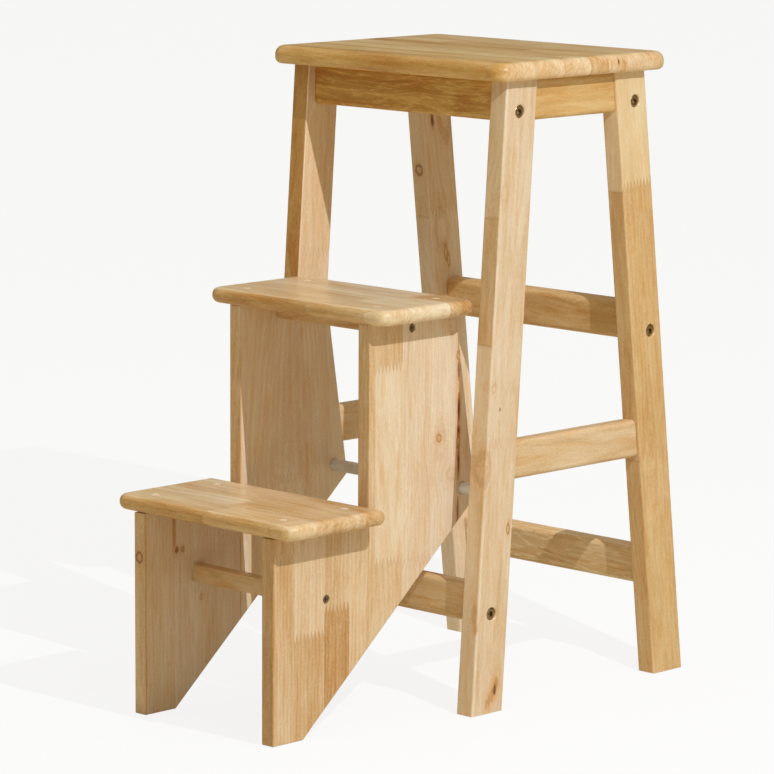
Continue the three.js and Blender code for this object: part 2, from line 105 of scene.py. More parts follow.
class StoolSizes(bpy.types.PropertyGroup):
    seat_corner: length("Seat corner", "Radius of the seat's corners from above", 16)
    tread_corner: length("Tread corner", "Radius of the treads' corners from above", 14)
    lower_rear_corner: length(
        "Lower tread rear corner", "Radius of the lower tread's rear corners", 8)
    seat_upper_round: length("Seat upper round", "Radius of the seat's edge above", 9)
    seat_lower_round: length("Seat lower round", "Radius of the seat's edge below", 6)
    tread_round: length("Tread round", "Radius of the treads' edges above and below", 7.1)
    leg_edge: length("Leg edge", "Radius of the legs' long edges", 2)
    rail_edge: length("Rail edge", "Radius of the rails' long edges", 5)
    batten_edge: length("Batten edge", "Radius of the battens' long edges", 1.5)
    panel_edge: length("Panel edge", "Radius of the step panels' edges", 0.8)
    end_ease: length("End ease", "Radius of the edge round a sawn end", 0.5)
    rail_height: length("Rail height", "Height of the rails between the legs", 38)
    apron_height: length("Apron height", "Height of the aprons under the seat", 40)
    rail_thickness: length("Rail thickness", "Thickness of the rails across", 20)
    joint_gap: length("Joint gap", "Gap between a rail's end and the leg", 0.3)
    hole_gap: length("Hole gap", "Room round a pin in its hole", 0.3)
    batten_size: length("Batten size", "Width and thickness of the battens", 17)
    finger_pitch: length("Finger pitch", "From one finger of a joint to the next", 4.8)
    finger_length: length("Finger length", "Length of the fingers of a joint", 10)


class StoolColours(bpy.types.PropertyGroup):
    cream: colour("Cream wood", "Palest lines and plugs under clear lacquer", (0.90, 0.78, 0.62))
    pale: colour("Pale wood", "Pale staves under clear lacquer", (0.83, 0.665, 0.51))
    honey: colour("Honey wood", "Most of the wood under clear lacquer", (0.745, 0.53, 0.335))
    tan: colour("Tan wood", "Darker staves under clear lacquer", (0.61, 0.37, 0.17))
    brown: colour("Brown wood", "Darkest streaks of the wood", (0.45, 0.20, 0.055))
    gold: colour("Gold", "What golden wood is multiplied by", (1.0, 0.865, 0.41))
    blush: colour("Blush", "What the orange streaks are multiplied by", (1.0, 0.84, 0.66))
    knot: colour("Knot", "Heart of a knot", (0.13, 0.03, 0.008))
    steel: colour("Rod steel", "Drawn steel of the pivot rod", (0.85, 0.86, 0.87))
    zinc: colour("Screw zinc", "Plated steel of the screws", (0.30, 0.22, 0.14))
    brass: colour("Bolt brass", "Dark antique brass of the bolts", (0.38, 0.26, 0.14))
    floor: colour("Floor", "Pale floor of the studio", (0.11, 0.11, 0.11))


def sizes():
    return bpy.context.scene.step_stool_sizes


def colours():
    return bpy.context.scene.step_stool_colours


# Places in the frame


def middle_of(node):
    low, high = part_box(node)
    return (low + high) / 2


def extent(node, axis):
    low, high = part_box(node)
    return getattr(high, axis) - getattr(low, axis)


def room_round(node, axis="z"):
    """The radius of a hole for a pin, from what the pin measures along an axis."""
    return extent(node, axis) / 2 + sizes().hole_gap


def side_of(node):
    """1 for a piece on the right, -1 for one on the left."""
    return 1 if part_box(node)[0].x > 0 else -1


class Lay:
    """How a piece of wood lies: its middle, and which way its length and its width go."""

    def __init__(self, middle, length_way, width_way):
        self.middle = Vector(middle)
        along = Vector(length_way).normalized()
        across = Vector(width_way).normalized()
        self.turn = Matrix((along, across, along.cross(across))).transposed()
        self.matrix = Matrix.Translation(self.middle) @ self.turn.to_4x4()

    def own(self, point):
        """A point of the frame, given in millimetres, in the piece's own millimetres."""
        return self.turn.transposed() @ (Vector(point) - self.middle / MM)


def filling(node, length_way, width_way):
    """How a piece that fills its box lies, and its length and width in millimetres."""
    low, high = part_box(node)
    span = [(high - low).dot(way) / MM for way in (length_way, width_way)]
    return Lay(middle_of(node), length_way, width_way), span


# Shapes


def way_of(edge):
    return (edge.verts[1].co - edge.verts[0].co).normalized()


def edges_along(bm, way):
    return [e for e in bm.edges if abs(way_of(e).dot(way)) > 0.9]


def edges_across(bm, way):
    return [e for e in bm.edges if abs(way_of(e).dot(way)) < 0.1]


def ease(bm, edges, radius, steps):
    bmesh.ops.bevel(
        bm, geom=list(edges), offset=radius, offset_type="OFFSET", segments=steps, profile=0.5,
        affect="EDGES", clamp_overlap=True, material=-1,
    )


def cube(size, middle=(0, 0, 0)):
    bm = bmesh.new()
    bmesh.ops.create_cube(bm, size=1)
    bmesh.ops.scale(bm, vec=size, verts=bm.verts)
    bmesh.ops.translate(bm, vec=middle, verts=bm.verts)
    return bm


def planed_bar(size, edge, steps):
    """A bar with its length along X and its long edges rounded."""
    bm = cube(size)
    ease(bm, edges_along(bm, X), edge, steps)
    return bm


def laid_bar(size, edge, steps, lay):
    """A planed bar with square eased ends, in its place."""
    bm = planed_bar(size, edge, steps)
    ease(bm, edges_across(bm, X), sizes().end_ease, END_STEPS)
    bmesh.ops.transform(bm, matrix=lay.matrix, verts=bm.verts)
    return bm


def saw_off(bm, at, outward):
    """Saws off what lies past a plane, closes the end and eases its edge."""
    bmesh.ops.bisect_plane(
        bm, geom=bm.verts[:] + bm.edges[:] + bm.faces[:], plane_co=at, plane_no=outward,
        clear_outer=True,
    )
    end = bmesh.ops.holes_fill(bm, edges=[e for e in bm.edges if e.is_boundary])["faces"]
    bmesh.ops.recalc_face_normals(bm, faces=bm.faces)
    ease(bm, {e for f in end for e in f.edges}, sizes().end_ease, END_STEPS)


def round_edged_board(node, corner, rear_corner, upper, lower):
    """A board with rounded corners, whose edge is a quarter round above and one below."""
    low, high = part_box(node)
    bm = cube(high - low, middle_of(node))
    for rear, radius in ((False, corner), (True, rear_corner)):
        upright = [
            e for e in edges_along(bm, Z) if abs(e.calc_length() - (high - low).z) < NEAR
        ]
        sharp = [e for e in upright if (e.verts[0].co.y > (low + high).y / 2) == rear]
        ease(bm, sharp, radius, CORNER_STEPS)
    for level, radius in ((high.z, upper), (low.z, lower)):
        rim = [e for e in edges_across(bm, Z) if all(abs(v.co.z - level) < NEAR for v in e.verts)]
        ease(bm, rim, radius, RIM_STEPS)
    return bm


def turned(profile, at, way, steps=TURN_STEPS):
    """A closed solid turned from (radius, distance along the way) points in metres."""
    bm = bmesh.new()
    points = [bm.verts.new((radius, 0, along)) for radius, along in profile]
    edges = [bm.edges.new(pair) for pair in zip(points, points[1:])]
    bmesh.ops.spin(
        bm, geom=points + edges, cent=(0, 0, 0), axis=Z, dvec=(0, 0, 0), angle=2 * math.pi,
        steps=steps, use_merge=True, use_duplicate=False,
    )
    bmesh.ops.remove_doubles(bm, verts=bm.verts, dist=MM / 1000)
    bmesh.ops.recalc_face_normals(bm, faces=bm.faces)
    place = Vector(way).to_track_quat("Z", "Y").to_matrix().to_4x4()
    place.translation = at
    bmesh.ops.transform(bm, matrix=place, verts=bm.verts)
    return bm


def hole(mouth, way, radius, depth, mouth_ease=0.4 * MM):
    """What a drill takes out, with the little countersink that sanding leaves at the mouth."""
    above = 2 * MM
    wide = radius + mouth_ease
    profile = [
        (0, -above), (wide + above, -above), (wide, 0), (radius, mouth_ease), (radius, depth),
        (0, depth),
    ]
    return turned(profile, mouth, way)


def head_of(node):
    """Of a bolt or screw along X: its outer end, the way in from there, its radius and length."""
    low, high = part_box(node)
    side, end = side_of(node), middle_of(node)
    end.x = high.x if side > 0 else low.x
    return end, -side * X, (high.z - low.z) / 2, high.x - low.x


def head_hole(node, outer, head_height, mouth_ease):
    """The hole for a bolt's or screw's head, in from the outer face of the wood."""
    end, way, _, _ = head_of(node)
    depth = abs(outer) - abs(end.x) + head_height + sizes().hole_gap
    return hole(Vector((outer, *end.yz)), way, room_round(node), depth, mouth_ease)


def mesh_of(name, bm):
    """A mesh of the shape, which is freed."""
    mesh = bpy.data.meshes.new(name)
    bm.to_mesh(mesh)
    bm.free()
    return mesh


def new_object(name, data):
    made = bpy.data.objects.new(name, data)
    bpy.context.scene.collection.objects.link(made)
    return made


def combine(first, second, operation):
    """Two shapes as one, joined or with the second cut out of the first."""
    work = new_object("work", mesh_of("work", first))
    other = new_object("other", mesh_of("other", second))
    change = work.modifiers.new("change", "BOOLEAN")
    change.operation, change.solver, change.object = operation, "EXACT", other
    bpy.context.view_layer.update()
    graph = bpy.context.evaluated_depsgraph_get()
    mesh = bpy.data.meshes.new_from_object(work.evaluated_get(graph))
    result = bmesh.new()
    result.from_mesh(mesh)
    for made in (work, other):
        old = made.data
        bpy.data.objects.remove(made)
        bpy.data.meshes.remove(old)
    bpy.data.meshes.remove(mesh)
    return result


def carve(bm, tools):
    """The shape with the tools cut out of it."""
    tool = bmesh.new()
    for each in tools:
        loose = mesh_of("loose", each)
        tool.from_mesh(loose)
        bpy.data.meshes.remove(loose)
    return combine(bm, tool, "DIFFERENCE")


def piece(bm, node, material):
    """Makes the finished object that stands for a node of the frame and moves with its body."""
    mesh = mesh_of(node + "_finished", bm)
    mesh.shade_smooth()
    mesh.set_sharp_from_angle(angle=SOFT_ANGLE)
    mesh.materials.append(material)
    made = new_object(node + "_finished", mesh)
    made.modifiers.new("Flat faces stay flat", "WEIGHTED_NORMAL").keep_sharp = True
    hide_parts(node)
    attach(made, frame["nodes"][node]["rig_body"])


def paint_solid(node, material):
    """Gives a hidden piece, which keeps its solid's own shape, its material."""
    materials = frame["nodes"][node].data.materials
    materials.clear()
    materials.append(material)


# Node building


class Graph:
    """Adds linked nodes to the tree of a material, a world, a lamp or a group."""

    def __init__(self, tree):
        self.tree = tree

    def node(self, kind, inputs=None, **settings):
        made = self.tree.nodes.new(kind)
        for name, value in settings.items():
            setattr(made, name, value)
        for key, value in (inputs or {}).items():
            if isinstance(value, bpy.types.NodeSocket):
                self.tree.links.new(value, made.inputs[key])
            else:
                made.inputs[key].default_value = value
        return made

    def math(self, operation, *values):
        inputs = dict(enumerate(values))
        return self.node("ShaderNodeMath", inputs, operation=operation).outputs[0]

    def plus(self, first, second):
        return self.math("ADD", first, second)

    def minus(self, first, second):
        return self.math("SUBTRACT", first, second)

    def times(self, first, second):
        return self.math("MULTIPLY", first, second)

    def line(self, value, slope, start):
        """The value times the slope, plus the start."""
        return self.math("MULTIPLY_ADD", value, slope, start)

    def wave(self, value, period):
        return self.math("SINE", self.times(value, 2 * math.pi / period))

    def apart(self, first, second):
        """How far one value is from another, either way."""
        return self.math("ABSOLUTE", self.minus(first, second))

    def vector(self, operation, *values):
        inputs = dict(enumerate(values))
        made = self.node("ShaderNodeVectorMath", inputs, operation=operation)
        return made.outputs["Value" if operation == "LENGTH" else "Vector"]

    def split(self, vector):
        return self.node("ShaderNodeSeparateXYZ", {0: vector}).outputs

    def join(self, x, y, z):
        return self.node("ShaderNodeCombineXYZ", {0: x, 1: y, 2: z}).outputs[0]

    def noise(self, place, periods, detail=2.0, roughness=0.5):
        scaled = self.vector("DIVIDE", place, periods)
        made = self.node(
            "ShaderNodeTexNoise",
            {"Vector": scaled, "Scale": 1.0, "Detail": detail, "Roughness": roughness},
        )
        return made.outputs["Fac"]

    def fit(self, value, low, high, to_low=0.0, to_high=1.0, smooth=False):
        made = self.node(
            "ShaderNodeMapRange",
            {"Value": value, "From Min": low, "From Max": high, "To Min": to_low,
             "To Max": to_high},
            interpolation_type="SMOOTHSTEP" if smooth else "LINEAR",
        )
        return made.outputs["Result"]

    def mix(self, amount, first, second, blend="MIX"):
        inputs = {0: amount, 6: first, 7: second}
        return self.node("ShaderNodeMix", inputs, data_type="RGBA", blend_type=blend).outputs[2]

    def ramp(self, value, stops, interpolation="LINEAR"):
        made = self.node("ShaderNodeValToRGB", {"Fac": value})
        ramp = made.color_ramp
        ramp.interpolation = interpolation
        while len(ramp.elements) > 1:
            ramp.elements.remove(ramp.elements[-1])
        for number, (place, stop) in enumerate(stops):
            element = ramp.elements[0] if number == 0 else ramp.elements.new(place)
            element.position = place
            element.color = stop
        return made.outputs

    def camera_sees(self, seen, otherwise):
        """One shader where the camera looks, another for the light's own ways."""
        ray = self.node("ShaderNodeLightPath").outputs["Is Camera Ray"]
        inputs = {0: ray, 1: otherwise.outputs[0], 2: seen.outputs[0]}
        return self.node("ShaderNodeMixShader", inputs)

    def close(self, kind, shader):
        """Feeds the output of a material, a world or a lamp."""
        self.node("ShaderNodeOutput" + kind, {0: shader.outputs[0]})


def blank_graph(owner):
    """The emptied graph of a material, a world or a lamp."""
    owner.use_nodes = True
    owner.node_tree.nodes.clear()
    return Graph(owner.node_tree)


def new_group(name, inputs, outputs):
    """The graph of a new node group, and what its inputs give."""
    tree = bpy.data.node_groups.new(name, "ShaderNodeTree")
    for way, sockets in (("INPUT", inputs), ("OUTPUT", outputs)):
        for socket, kind in sockets.items():
            tree.interface.new_socket(socket, in_out=way, socket_type="NodeSocket" + kind)
    g = Graph(tree)
    return g, g.node("NodeGroupInput").outputs


def shade_of(tint, share):
    """A darker shade of a colour."""
    return tuple(share * value for value in tint[:3]) + (1,)


# Wood


# Each noise: its periods along and across the grain in millimetres, detail and roughness.
# They are cloudy tone, bands, patches of streaks, streaks, the short lines of the pores,
# flecks, specks, orange streaks, thin pale veins and the bends of the growth rings.
FIGURE = {
    "cloud": (90, 26, 2.0, 0.5), "band": (210, 8.5, 3.0, 0.6), "patch": (70, 12, 1.0, 0.5),
    "wide": (80, 2.9, 2.0, 0.6), "fine": (22, 1.15, 2.0, 0.6), "pore": (7, 0.9, 1.0, 0.5),
    "fleck": (3.5, 1.3, 2.0, 0.6), "speck": (2.6, 1.4, 1.0, 0.5), "blush": (46, 8, 2.0, 0.6),
    "vein": (55, 6, 3.0, 0.55), "bend": (70, 16, 2.0, 0.5),
}
# How far a whole seed shifts the figure each way, and from one growth ring to the next
SEED_STEP = (431.0, 173.0, 97.0)
RING_PITCH = 4.6
# Where a knot ends and how far apart its swirls are, as shares of its size
KNOT_EDGE, SWIRL_PITCH = 0.95, 0.36


def figure_group():
    """Colour, roughness and relief of the wood at a place in a stave."""
    numbers = ("Seed", "Tone", "Rings", "Gold", "Veins", "Clouds")
    g, given = new_group(
        "Wood figure", {"Place": "Vector", **dict.fromkeys(numbers, "Float")},
        {"Color": "Color", "Roughness": "Float", "Height": "Float"},
    )
    seed, clouds = given["Seed"], given["Clouds"]
    along, across, deep = g.split(given["Place"])

    def drawn(factor, spread, start):
        """A number from the start to the start plus the spread, which the seed settles."""
        return g.line(g.math("FRACT", g.times(seed, factor)), spread, start)

    # The grain leans a little to the stave's length, and wanders
    shift = g.join(*(g.times(seed, step) for step in SEED_STEP))
    place = g.vector("ADD", given["Place"], shift)
    sway = g.line(g.noise(place, (120, 45, 45), 1.0), 18.0, -9.0)
    lean = g.line(along, drawn(37.0, 0.09, -0.045), sway)
    place = g.vector("ADD", place, g.join(0.0, lean, 0.0))

    noise = {
        name: g.noise(place, (long, wide, wide), detail, roughness)
        for name, (long, wide, detail, roughness) in FIGURE.items()
    }
    patch = g.fit(noise["patch"], 0.35, 0.65, 0.3, 1.0)
    streak = g.times(g.plus(noise["wide"], noise["fine"]), 0.5)
    pore = g.fit(noise["pore"], 0.56, 0.74)
    fleck = g.fit(noise["fleck"], 0.56, 0.76)
    blush = g.fit(noise["blush"], 0.50, 0.72, smooth=True)
    vein = g.fit(g.apart(noise["vein"], 0.5), 0.05, 0.0)

    # Growth rings about a heart that lies outside the board and leans to its length
    heart = g.line(g.times(along, drawn(17.0, 1.0, -0.5)), 0.16, drawn(5.3, 26.0, 14.0))
    down, aside = g.plus(heart, deep), g.plus(across, drawn(9.1, 44.0, -22.0))
    radius = g.math("SQRT", g.plus(g.times(down, down), g.times(aside, aside)))
    wave = g.wave(g.line(noise["bend"], 7.0, radius), RING_PITCH)
    ring = g.math("POWER", g.fit(wave, -1, 1), 2.2)

    # What darkens the wood, and how much; a weight under nought makes it paler
    layers = (
        (g.times(g.minus(noise["cloud"], 0.5), clouds), 0.42),
        (g.times(g.minus(noise["band"], 0.5), clouds), 0.40),
        (g.times(g.times(g.minus(streak, 0.5), patch), clouds), 0.40),
        (g.times(ring, given["Rings"]), 0.22),
        (pore, 0.10),
        (fleck, -0.08),
        (g.minus(noise["speck"], 0.5), 0.26),
        (g.times(vein, given["Veins"]), -0.34),
    )
    tone = given["Tone"]
    for layer, weight in layers:
        tone = g.line(layer, weight, tone)
    shades = colours()
    wood = g.ramp(tone, [
        (0.0, shades.cream), (0.18, shades.pale), (0.44, shades.honey), (0.70, shades.tan),
        (1.0, shades.brown),
    ])
    blushed = g.mix(g.times(blush, 0.6), wood["Color"], shades.blush, "MULTIPLY")
    g.node("NodeGroupOutput", {
        "Color": g.mix(given["Gold"], blushed, shades.gold, "MULTIPLY"),
        "Roughness": g.line(streak, 0.16, 0.30),
        "Height": g.line(pore, -1.0, g.times(streak, 0.6)),
    })
    return g.tree


def knot_group():
    """How deep in a knot, or in the dark wood round it, a place is, and how the knot pulls
    the figure."""
    g, given = new_group(
        "Knot", dict.fromkeys(("Place", "Centre", "Size"), "Vector"),
        {**dict.fromkeys(("Core", "Rim", "Halo", "Swirl"), "Float"), "Place": "Vector"},
    )
    off = g.vector("SUBTRACT", given["Place"], given["Centre"])
    far = g.vector("LENGTH", g.vector("DIVIDE", off, given["Size"]))
    ragged = g.line(g.noise(given["Place"], (4, 1.6, 1.6), 2.0), 0.9, g.minus(far, 0.45))
    wave = g.fit(g.wave(ragged, SWIRL_PITCH), 0.1, 1.0)
    pull = g.times(g.fit(far, 4.2, 0.6, smooth=True), -0.55)
    sideways = g.vector("MULTIPLY", off, g.join(0.0, pull, pull))
    g.node("NodeGroupOutput", {
        "Core": g.fit(ragged, KNOT_EDGE, 0.5, smooth=True),
        "Rim": g.fit(g.apart(ragged, KNOT_EDGE), 0.42, 0.15, smooth=True),
        "Halo": g.fit(ragged, 2.4, 0.9, smooth=True),
        "Swirl": g.times(wave, g.fit(ragged, 3.4, 1.6, smooth=True)),
        "Place": g.vector("ADD", given["Place"], sideways),
    })
    return g.tree


def pulled_by_knots(g, lay, plain, knots):
    """The place in the figure as the knots pull it, and the knots that have a colour."""
    place, seen = plain, []
    for x, y, z, along, across, heart, ring in knots:
        knot = g.node(
            "ShaderNodeGroup",
            {"Place": plain, "Centre": lay.own((x, y, z)), "Size": (along, across, 3 * across)},
            node_tree=bpy.data.node_groups.get("Knot") or knot_group(),
        )
        place = g.vector("ADD", place, g.vector("SUBTRACT", knot.outputs["Place"], plain))
        if heart or ring:
            seen.append((knot.outputs, heart, ring))
    return place, seen


# A joint this far along, as a share of the length, lies past the end
NO_JOINT = (2.0, 2.0)
SEED_PAST_JOINT = 0.37


def block_at(g, plain, span, staves):
    """Tone, seed and gold of the block that a place is in, and how near a finger joint it is."""
    along, across, _ = g.split(plain)
    total = sum(stave[0] for stave in staves)
    tone_stops, joint_stops, start = [], [], 0.0
    for width, tones, joints, seed, gold in staves:
        tones = (*tones, tones[-1], tones[-1])[:3]
        joints = (*joints, *NO_JOINT)[:2]
        tone_stops.append((start, (*tones, seed)))
        joint_stops.append((start, (joints[0] / 2, joints[1] / 2, gold, 1)))
        start += width / total
    where = g.fit(across, -span[1] / 2, span[1] / 2)
    tones = g.ramp(where, tone_stops, "CONSTANT")
    joints = g.ramp(where, joint_stops, "CONSTANT")
    tone = g.node("ShaderNodeSeparateColor", {0: tones["Color"]}).outputs
    joint = g.node("ShaderNodeSeparateColor", {0: joints["Color"]}).outputs
    pitch, finger = sizes().finger_pitch / MM / 2, sizes().finger_length / MM
    comb = g.times(g.math("PINGPONG", g.plus(across, span[1]), pitch), finger / pitch)
    here = g.plus(along, comb)
    block, seed, lines = tone[0], tones["Alpha"], []
    for number in range(2):
        past = g.minus(here, g.line(joint[number], 2 * span[0], -span[0] / 2))
        beyond = g.math("GREATER_THAN", past, 0.0)
        block = g.line(beyond, g.minus(tone[number + 1], tone[number]), block)
        seed = g.line(beyond, SEED_PAST_JOINT, seed)
        lines.append(g.fit(g.math("ABSOLUTE", past), 2.2, 0.5))
    return block, seed, joint[2], g.math("MAXIMUM", *lines)


LACQUER = {
    "IOR": 1.45, "Specular IOR Level": 0.2, "Coat Weight": 0.38, "Coat Roughness": 0.27,
}
# The tone of a board's ends, and how far from the end it starts and is full, in millimetres
END_TONE, END_REACH, END_FULL = 0.24, 8, 2


def lacquered_wood(
    node, lay, span, staves, knots=(), rings=0.6, veins=0.25, clouds=1.0, ends=0.0,
):
    """Clear-lacquered wood of edge-glued staves. The span is the length and width set out, in
    millimetres. A stave is (width, tones of its blocks, places of its finger joints as shares of
    the length, seed, how golden). A knot is (x, y, z, size along, size across, how dark its heart
    is, how dark its ring is); a faint heart or ring is brown. The ends, where the rings show,
    are paler by their share."""
    material = bpy.data.materials.new(node.replace("_", " ").capitalize() + " wood")
    g = blank_graph(material)
    plain = g.node(
        "ShaderNodeMapping",
        {"Vector": g.node("ShaderNodeTexCoord").outputs["Object"], "Location": lay.middle,
         "Rotation": lay.turn.to_euler("XYZ"), "Scale": (MM, MM, MM)},
        vector_type="TEXTURE",
    ).outputs[0]
    place, seen = pulled_by_knots(g, lay, plain, knots)
    block, seed, gold, joint = block_at(g, plain, span, staves)
    if ends:
        half = span[0] / 2
        far = g.math("ABSOLUTE", g.split(plain)[0])
        end = g.fit(far, half - END_REACH, half - END_FULL, 0, ends, smooth=True)
        block = g.plus(block, g.times(g.minus(END_TONE, block), end))
        gold = g.times(gold, g.minus(1, end))
        rings = g.line(end, 0.4, rings)
    figure = g.node(
        "ShaderNodeGroup",
        {"Place": place, "Seed": seed, "Tone": block, "Rings": rings, "Gold": gold,
         "Veins": veins, "Clouds": clouds},
        node_tree=bpy.data.node_groups.get("Wood figure") or figure_group(),
    ).outputs

    shades = colours()
    paint = g.mix(g.times(joint, 0.25), figure["Color"], shades.brown)
    if ends:
        paint = g.mix(g.times(end, 0.7), paint, shades.blush, "MULTIPLY")
    for parts, heart, ring in seen:
        rim, strength = (shades.knot, 0.6) if ring > 0.9 else (shades.brown, 0.9)
        core = shades.knot if heart > 0.5 else shades.brown
        for part, share, shade, blend in (
            ("Halo", 0.16 + 0.6 * max(heart, ring), shades.blush, "MULTIPLY"),
            ("Swirl", 0.08 + 0.45 * ring, shades.tan, "MIX"),
            ("Rim", strength * ring, rim, "MIX"),
            ("Core", 0.95 * heart, core, "MIX"),
        ):
            paint = g.mix(g.times(parts[part], share), paint, shade, blend)
    relief = {"Height": figure["Height"], "Strength": 0.35, "Distance": 0.2 * MM}
    g.close("Material", g.node(
        "ShaderNodeBsdfPrincipled",
        {"Base Color": paint, "Roughness": figure["Roughness"],
         "Normal": g.node("ShaderNodeBump", relief).outputs[0], **LACQUER},
    ))
    return material


# Metal


# Each metal's roughness, the periods of its scratches and of its spots in millimetres, and how
# metallic it is
METALS = {
    "steel": ("Drawn steel", 0.36, (30, 0.5, 0.5), 9.0, 0.1),
    "zinc": ("Zinc plate", 0.36, (1.2, 1.2, 1.2), 4.0, 1.0),
    "brass": ("Antique brass", 0.33, (0.9, 0.9, 0.9), 3.0, 1.0),
}


def metal(kind):
    """Metal with fine marks, made the first time that it is asked for."""
    name, roughness, scratches, spots, metallic = METALS[kind]
    if name in bpy.data.materials:
        return bpy.data.materials[name]
    material = bpy.data.materials.new(name)
    g = blank_graph(material)
    place = g.node(
        "ShaderNodeVectorMath",
        {0: g.node("ShaderNodeTexCoord").outputs["Object"], "Scale": 1 / MM}, operation="SCALE",
    ).outputs["Vector"]
    marks = g.noise(place, scratches, 3.0, 0.6)
    patches = g.noise(place, (spots, spots, spots), 2.0)
    tint = tuple(getattr(colours(), kind))
    relief = {"Height": marks, "Strength": 0.25, "Distance": 0.1 * MM}
    g.close("Material", g.node(
        "ShaderNodeBsdfPrincipled",
        {"Base Color": g.mix(g.fit(g.plus(marks, patches), 0.7, 1.25), shade_of(tint, 0.8), tint),
         "Metallic": metallic, "Normal": g.node("ShaderNodeBump", relief).outputs[0],
         "Roughness": g.fit(marks, 0.3, 0.7, roughness - 0.08, roughness + 0.1)},
    ))
    return material


# Pieces


class Maker(bpy.types.Operator):
    """What every operator here shares"""

    bl_options = {"REGISTER", "UNDO"}

    def execute(self, context):
        self.make()
        return {"FINISHED"}


class STEPSTOOL_OT_seat(Maker):
    """Shapes the seat board from edge-glued staves, with a rounded edge"""

    bl_idname = "stepstool.seat"
    bl_label = "Seat board"

    # From the front to the rear; the two thin ones are dark lines
    staves = [
        (22, (0.60, 0.50), (0.95,), 0.10, 0.75), (24, (0.30, 0.38), (0.42,), 0.25, 0.7),
        (13.5, (0.62, 0.48), (0.50,), 0.31, 0.7), (28.4, (0.30, 0.12), (0.90,), 0.35, 0.6),
        (1.2, (0.85,), (), 0.37, 0.3), (10, (0.50, 0.30), (0.75,), 0.39, 0.6),
        (26.5, (0.30, 0.42, 0.18), (0.3, 0.93), 0.47, 0.55), (1.8, (0.85,), (), 0.51, 0.9),
        (23.7, (0.60, 0.36), (0.70,), 0.58, 0.6),
        (27.5, (0.34, 0.48, 0.26), (0.30, 0.95), 0.63, 0.5),
        (30, (0.44, 0.32), (0.6,), 0.71, 0.4), (33.4, (0.34, 0.42), (0.4,), 0.81, 0.4),
    ]
    knots = [
        (159, 141, 624.6, 2.0, 1.3, 1.0, 0.5), (159, 128, 622, 3, 3, 0.0, 0.35),
        (159, 113, 624, 3, 3, 0.0, 0.4), (159, 120, 618, 3, 2.4, 0.0, 0.3),
        (159, 148, 618, 3, 2.4, 0.0, 0.3),
    ]

    def make(self):
        corner = sizes().seat_corner
        bm = round_edged_board(
            "seat_board", corner, corner, sizes().seat_upper_round, sizes().seat_lower_round)
        piece(bm, "seat_board", lacquered_wood(
            "seat", *filling("seat_board", X, Y), self.staves, self.knots, rings=0.3, clouds=2.0,
            ends=0.6))


class STEPSTOOL_OT_treads(Maker):
    """Shapes the two treads and the plugs over their screws"""

    bl_idname = "stepstool.treads"
    bl_label = "Treads and plugs"

    # The first 3.5 mm stave of each tread is its front edge, set darker: painted shade
    staves = {
        "lower_tread": [
            (3.5, (0.64, 0.58, 0.48), (0.55, 0.92), 0.17, 0.5),
            (31.5, (0.40, 0.36, 0.30), (0.55, 0.92), 0.17, 0.3),
            (34, (0.32, 0.56), (0.53,), 0.33, 0.15),
            (30, (0.44, 0.50), (0.5,), 0.62, 0.15), (30, (0.32, 0.52), (0.3,), 0.74, 0.15),
        ],
        "upper_tread": [
            (3.5, (0.64, 0.48, 0.22), (0.6, 0.92), 0.21, 0.4),
            (32.5, (0.32, 0.24), (0.6,), 0.21, 0.3), (34, (0.36, 0.14), (0.72,), 0.43, 0.2),
            (20, (0.18, 0.12), (0.88,), 0.56, 0.15), (39, (0.28, 0.66), (0.8,), 0.88, 0.1),
        ],
    }
    plug_edge, mouth_ease = 0.3 * MM, 0.2 * MM

    def make(self):
        edge = sizes().tread_round
        for node, staves in self.staves.items():
            corner = rear_corner = sizes().tread_corner
            if node == "lower_tread":
                rear_corner = sizes().lower_rear_corner
            bm = round_edged_board(node, corner, rear_corner, edge, edge)
            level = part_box(node)[1].z
            holes = [self.plug(f"{node}_plug_{number}", level) for number in range(1, 5)]
            wood = lacquered_wood(node, *filling(node, X, Y), staves, rings=0.35, clouds=1.8)
            piece(carve(bm, holes), node, wood)

    def plug(self, node, level):
        """Makes a plug, and gives the hole for it down from the level."""
        radius, height, edge = extent(node, "x") / 2, extent(node, "z"), self.plug_edge
        profile = [(0, 0), (radius - edge, 0), (radius, edge), (radius, height), (0, height)]
        top = middle_of(node)
        top.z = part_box(node)[1].z
        wood = bpy.data.materials.get("Plug wood") or lacquered_wood(
            "plug", Lay((0, 0, 0), (0.3, 1, 0), (-1, 0.3, 0)), (600, 600),
            [(1, (-0.1,), (), 0.5, 0)], rings=0.2)
        piece(turned(profile, top, -Z, PIN_STEPS), node, wood)
        mouth = Vector((*top.xy, level))
        return hole(mouth, -Z, room_round(node, "x"), height + MM, self.mouth_ease)


def leg_lines(node):
    """Where a leg's two faces cross the floor and its top, along Y, and the top's level."""
    points = [v.co for v in frame["nodes"][node].data.vertices]
    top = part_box("seat_board")[0].z - sizes().joint_gap
    foot = [p.y for p in points if abs(p.z) < NEAR]
    head = [p.y for p in points if abs(p.z - top) < NEAR]
    return min(foot), max(foot), min(head), max(head), top


def leg_face(node, level, rear):
    """Where a leg's front or rear face is along Y at a level."""
    lines = leg_lines(node)
    foot, head, top = lines[int(rear)], lines[2 + int(rear)], lines[4]
    return foot + (head - foot) * level / top


def leg_middle(node, level):
    return (leg_face(node, level, False) + leg_face(node, level, True)) / 2


def leg_lay(node):
    """How a leg lies, and its width, thickness and length."""
    foot_front, foot_rear, head_front, head_rear, top = leg_lines(node)
    low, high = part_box(node)
    rise = Vector((0, head_front - foot_front, top))
    across = Vector((0, top, foot_front - head_front))
    y = (foot_front + foot_rear + head_front + head_rear) / 4
    middle = Vector(((low.x + high.x) / 2, y, top / 2))
    width = (foot_rear - foot_front) * across.normalized().y
    return Lay(middle, rise, across), width, high.x - low.x, rise.length


